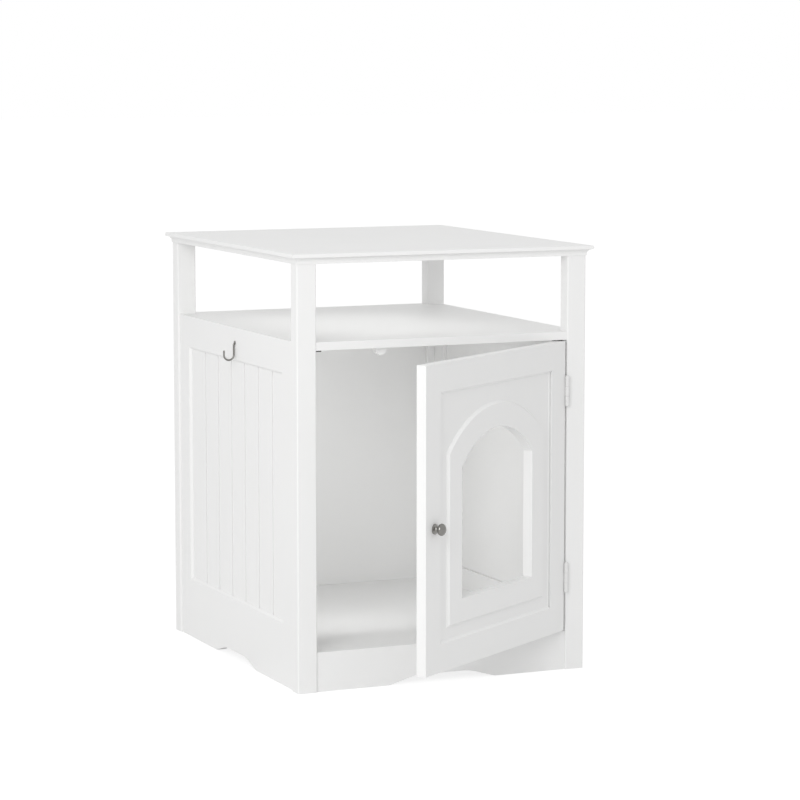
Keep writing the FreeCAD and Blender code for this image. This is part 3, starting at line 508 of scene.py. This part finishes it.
def machine_screw(head, radius, length):
    """A machine screw with a low rounded cross-slotted head."""
    shape = bmesh.new()
    profile = [
        (head * 0.72, 0),
        (head * 0.90, 0.25 * MM),
        (head, 0.8 * MM),
        (head, MACHINE_HEAD),
        (radius, MACHINE_HEAD),
    ]
    rings = lathe(shape, profile, SCREW_POINTS)
    first = thread(shape, radius, MACHINE_HEAD + 0.1 * MM, length, MACHINE_PITCH, depth=0.12)
    skin(shape, rings[-1], first)
    cross_recess(shape, rings[0], reach=head * 0.5, arm=head * 0.11, depth=MACHINE_HEAD * 0.7)
    return shape


def fluted_dowel(radius, _end_radius, length):
    """A beech dowel with pressed flutes and eased ends."""
    shape = bmesh.new()

    def fluted(angle):
        return radius - FLUTE_DEPTH * max(0.0, math.cos(angle * FLUTES)) ** 3

    eased = radius - DOWEL_EASE
    profile = [(eased, 0), (fluted, DOWEL_EASE), (fluted, length - DOWEL_EASE), (eased, length)]
    rings = lathe(shape, profile, FLUTES * FLUTE_POINTS)
    close(shape, rings[0])
    close(shape, rings[-1])
    return shape


def cam_bolt(radius, length):
    """A cam bolt: a wood thread, a collar, a plain shank and the waisted head that the cam grips."""
    shape = bmesh.new()
    profile = [
        (0.80 * radius, length),
        (radius, length - 0.6 * MM),
        (radius, length - 2.2 * MM),
        (0.55 * radius, length - 3.0 * MM),
        (0.55 * radius, length - 5.5 * MM),
        (0.80 * radius, length - 6.5 * MM),
        (0.80 * radius, BOLT_THREAD + 2.4 * MM),
        (radius, BOLT_THREAD + 2.2 * MM),
        (radius, BOLT_THREAD + 0.8 * MM),
        (0.75 * radius, BOLT_THREAD + 0.6 * MM),
    ]
    rings = lathe(shape, profile, BOLT_POINTS)
    # The thread is made below 0 and turned over, so that its point comes to 0.
    first = thread(shape, radius, -BOLT_THREAD, 0, BOLT_PITCH, points=BOLT_POINTS, depth=0.3)
    for vertex in shape.verts:
        if vertex.co.z <= 0:
            vertex.co.z = -vertex.co.z
    skin(shape, rings[-1], first)
    close(shape, rings[0])
    return shape


def cam_disc(radius, depth):
    """A cam disc: an eased rim, a flat face and a deep cross recess."""
    shape = bmesh.new()
    profile = [
        (radius * 0.80, 0),
        (radius * 0.94, 0.02 * MM),
        (radius, 0.5 * MM),
        (radius, depth - 0.6 * MM),
        (radius - 0.6 * MM, depth),
    ]
    rings = lathe(shape, profile, DISC_POINTS)
    close(shape, rings[-1])
    cross_recess(shape, rings[0], reach=radius * 0.55, arm=radius * 0.13, depth=depth * 0.45)
    return shape


def knob(reach):
    """The turned knob: a ringed foot, a waisted neck and a mushroom head under a flat dome."""
    shape = bmesh.new()
    rim = KNOB_BASE - KNOB_RIM
    profile = [
        (rim, 0),
        (KNOB_BASE, 0.4 * KNOB_RIM),
        (KNOB_BASE, KNOB_BASE_HEIGHT - KNOB_RIM),
        (rim, KNOB_BASE_HEIGHT),
    ]
    for step in range(1, KNOB_STEPS + 1):
        share = step / KNOB_STEPS
        flare = (KNOB_FLARE * KNOB_BASE - KNOB_NECK) * (1 - share) ** 3
        height = KNOB_BASE_HEIGHT + (KNOB_WAIST * KNOB_HEAD_START - KNOB_BASE_HEIGHT) * share
        profile.append((KNOB_NECK + flare, height))
    for step in range(1, KNOB_STEPS + 1):
        turn = math.pi / 2 * step / KNOB_STEPS
        radius = KNOB_NECK + (KNOB_HEAD - KNOB_RIM - KNOB_NECK) * math.sin(turn)
        profile.append((radius, KNOB_HEAD_START * (KNOB_WAIST + KNOB_SWELL * (1 - math.cos(turn)))))
    profile.append((KNOB_HEAD, KNOB_HEAD_START + 2 * KNOB_RIM))
    profile.append((KNOB_HEAD, KNOB_DOME_START - KNOB_RIM))
    rise = reach - KNOB_DOME_START
    dome_radius = (KNOB_HEAD**2 + rise**2) / (2 * rise)
    for step in range(1, 2 * KNOB_STEPS):
        height = KNOB_DOME_START + rise * math.sin(math.pi / 2 * step / (2 * KNOB_STEPS))
        profile.append((math.sqrt(dome_radius**2 - (height - reach + dome_radius) ** 2), height))
    rings = lathe(shape, profile, KNOB_POINTS)
    close(shape, rings[0])
    close(shape, rings[-1])
    return shape


# ---- turned pieces in place of CAD nodes -------------------------------------------------------
def added(name, data):
    """A new object in the scene."""
    piece = bpy.data.objects.new(name, data)
    bpy.context.scene.collection.objects.link(piece)
    return piece


def finish_piece(name, shapes, node):
    """Joins a node's placed shapes into one piece that stands for it and rides on its body."""
    whole = bmesh.new()
    for shape, place in shapes:
        bmesh.ops.transform(shape, matrix=place, verts=shape.verts)
        part = bpy.data.meshes.new("part")
        shape.to_mesh(part)
        shape.free()
        whole.from_mesh(part)
        bpy.data.meshes.remove(part)
    bmesh.ops.recalc_face_normals(whole, faces=whole.faces)
    mesh = bpy.data.meshes.new(name)
    whole.to_mesh(mesh)
    whole.free()
    for polygon in mesh.polygons:
        polygon.use_smooth = True
    mesh.set_sharp_from_angle(angle=TURNED_CREASE)
    mesh.materials.append(finishes[slot_of[node]])
    piece = added(name, mesh)
    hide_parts(node)
    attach(piece, "door" if node in door_nodes else "cabinet")


def turned_along(node, ending, turned):
    """Puts a turned shape in place of each long solid of a node, made from its end radii and length."""
    shapes = []
    for points in solids_of(node):
        way = long_way(points)
        start, start_radius, end_radius, length = end_sizes(points, way)
        shapes.append((turned(start_radius, end_radius, length), frame_at(start, way)))
    finish_piece(f"{node}_{ending}", shapes, node)


def cams(disc_node, bolt_node):
    """Each cam disc, and each bolt with its head at the disc that it goes into."""
    discs, shapes = [], []
    for points in solids_of(disc_node):
        middle = middle_of(points)
        discs.append(middle)
        face = max(point.y for point in points)
        depth = face - min(point.y for point in points)
        start = Vector((middle.x, face, middle.z))
        shapes.append((cam_disc(DISC_RADIUS, depth), frame_at(start, Vector((0, -1, 0)))))
    finish_piece(f"{disc_node}_slotted", shapes, disc_node)
    shapes = []
    for points in solids_of(bolt_node):
        way = long_way(points)
        start, radius, _end_radius, length = end_sizes(points, way)
        end = start + way * length
        start_gap = min((disc - start).length for disc in discs)
        end_gap = min((disc - end).length for disc in discs)
        if start_gap < end_gap:
            start, way = end, -way
        shapes.append((cam_bolt(radius, length), frame_at(start, way)))
    finish_piece(f"{bolt_node}_turned", shapes, bolt_node)


def turned_knob(node):
    """The knob, turned afresh from the CAD knob's foot along the way the door faces."""
    points = solids_of(node)[0]
    up = Vector((0, 0, 1))
    sideways = up.cross(DOOR_FACES)
    low, high = span(points, DOOR_FACES)
    across = sideways * sum(span(points, sideways)) / 2
    foot = DOOR_FACES * low + across + up * sum(span(points, up)) / 2
    finish_piece(f"{node}_turned", [(knob(high - low), frame_at(foot, DOOR_FACES))], node)


# ---- the dressed cabinet -----------------------------------------------------------------------
for name, piece in nodes.items():
    piece.data.materials.clear()
    piece.data.materials.append(finishes[slot_of[name]])
    fine = name.startswith("beadboard")
    soften(piece, FINE_EASED if fine else EASED.get(slot_of[name], FINE_EASED))

WOOD_SCREWS = (
    "bracket_screws",
    "catch_screws",
    "cleat_screws",
    "hinge_screws_post",
    "hinge_screws_door",
    "strike_screw",
)
for name in WOOD_SCREWS:
    turned_along(name, "threaded", wood_screw)
turned_along("knob_screw", "threaded", machine_screw)
turned_along("side_dowels", "fluted", fluted_dowel)
cams("cam_discs", "cam_bolts")
turned_knob("door_knob")


# ---- the studio --------------------------------------------------------------------------------
def looking_rays(tree):
    """1 for the rays that show a background: the camera's own, and those off gloss or through glass."""
    path = add(tree, "ShaderNodeLightPath")
    seen = path.outputs["Is Camera Ray"]
    for kind in ("Is Glossy Ray", "Is Transmission Ray"):
        either = add(tree, "ShaderNodeMath", operation="MAXIMUM")
        tree.links.new(seen, either.inputs[0])
        tree.links.new(path.outputs[kind], either.inputs[1])
        seen = either.outputs[0]
    return seen


def floor():
    """A pale floor that keeps a faint shadow and shows as white to the camera."""
    mesh = bpy.data.meshes.new("studio_floor")
    shape = bmesh.new()
    bmesh.ops.create_grid(shape, x_segments=2, y_segments=2, size=FLOOR_REACH)
    shape.to_mesh(mesh)
    shape.free()
    piece = added("studio_floor", mesh)
    material, tree, shader = new_material("studio_floor")
    shader.inputs["Base Color"].default_value = (FLOOR_GREY, FLOOR_GREY, FLOOR_GREY, 1)
    shader.inputs["Roughness"].default_value = FLOOR_ROUGHNESS
    shader.inputs["Specular IOR Level"].default_value = FLOOR_SPECULAR
    glow = add(tree, "ShaderNodeEmission", {"Color": (1, 1, 1, 1), "Strength": FLOOR_GLOW})
    lit = add(tree, "ShaderNodeBsdfDiffuse", {"Color": (FLOOR_LIT, FLOOR_LIT, FLOOR_LIT, 1)})
    shown = add(tree, "ShaderNodeAddShader")
    tree.links.new(glow.outputs[0], shown.inputs[0])
    tree.links.new(lit.outputs[0], shown.inputs[1])
    chosen = add(tree, "ShaderNodeMixShader", {"Fac": looking_rays(tree)})
    tree.links.new(shader.outputs[0], chosen.inputs[1])
    tree.links.new(shown.outputs[0], chosen.inputs[2])
    tree.links.new(chosen.outputs[0], tree.nodes["Material Output"].inputs["Surface"])
    mesh.materials.append(material)


def world():
    """Even light from all round, and white where the camera looks past the cabinet."""
    studio = bpy.data.worlds.new("studio")
    studio.use_nodes = True
    tree = studio.node_tree
    background = tree.nodes["Background"]
    background.inputs["Color"].default_value = (1, 1, 1, 1)
    level = spread(tree, looking_rays(tree), AMBIENT, 1.0)
    tree.links.new(level, background.inputs["Strength"])
    bpy.context.scene.world = studio


def key_light():
    """One large soft lamp to the front left, above the cabinet's height."""
    lamp = bpy.data.lights.new("key", "AREA")
    lamp.shape = "DISK"
    lamp.size = KEY_SIZE
    lamp.energy = KEY_WATTS
    piece = added("key", lamp)
    toward = KEY_SIDE.normalized()
    piece.location = KEY_TARGET + toward * KEY_DISTANCE
    piece.rotation_mode = "QUATERNION"
    piece.rotation_quaternion = toward.to_track_quat("Z", "Y")


def fill_light(name, watts, size, place, tilt):
    """A weak soft lamp inside the cabinet, for the light that the white studio sends into it."""
    lamp = bpy.data.lights.new(name, "AREA")
    lamp.shape = "RECTANGLE"
    lamp.size, lamp.size_y = size
    lamp.energy = watts
    piece = added(name, lamp)
    piece.location = place
    piece.rotation_euler = (tilt, 0, 0)
    piece.visible_camera = False
    piece.visible_glossy = False


def camera():
    """The photograph's viewpoint: level left and right, looking a little down."""
    data = bpy.data.cameras.new("camera")
    data.sensor_width = CAMERA_SENSOR
    data.lens = CAMERA_LENS
    data.clip_start, data.clip_end = CAMERA_CLIP
    piece = added("camera", data)
    piece.location = CAMERA_PLACE
    piece.rotation_euler = (math.radians(90 + CAMERA_PITCH), 0, math.radians(CAMERA_TURN))
    bpy.context.scene.camera = piece


floor()
world()
key_light()
fill_light("room_fill", ROOM_WATTS, ROOM_SIZE, ROOM_PLACE, TO_THE_BACK)
fill_light("bay_fill", BAY_WATTS, BAY_SIZE, BAY_PLACE, DOWNWARDS)
camera()
bpy.context.scene.view_settings.view_transform = "Standard"
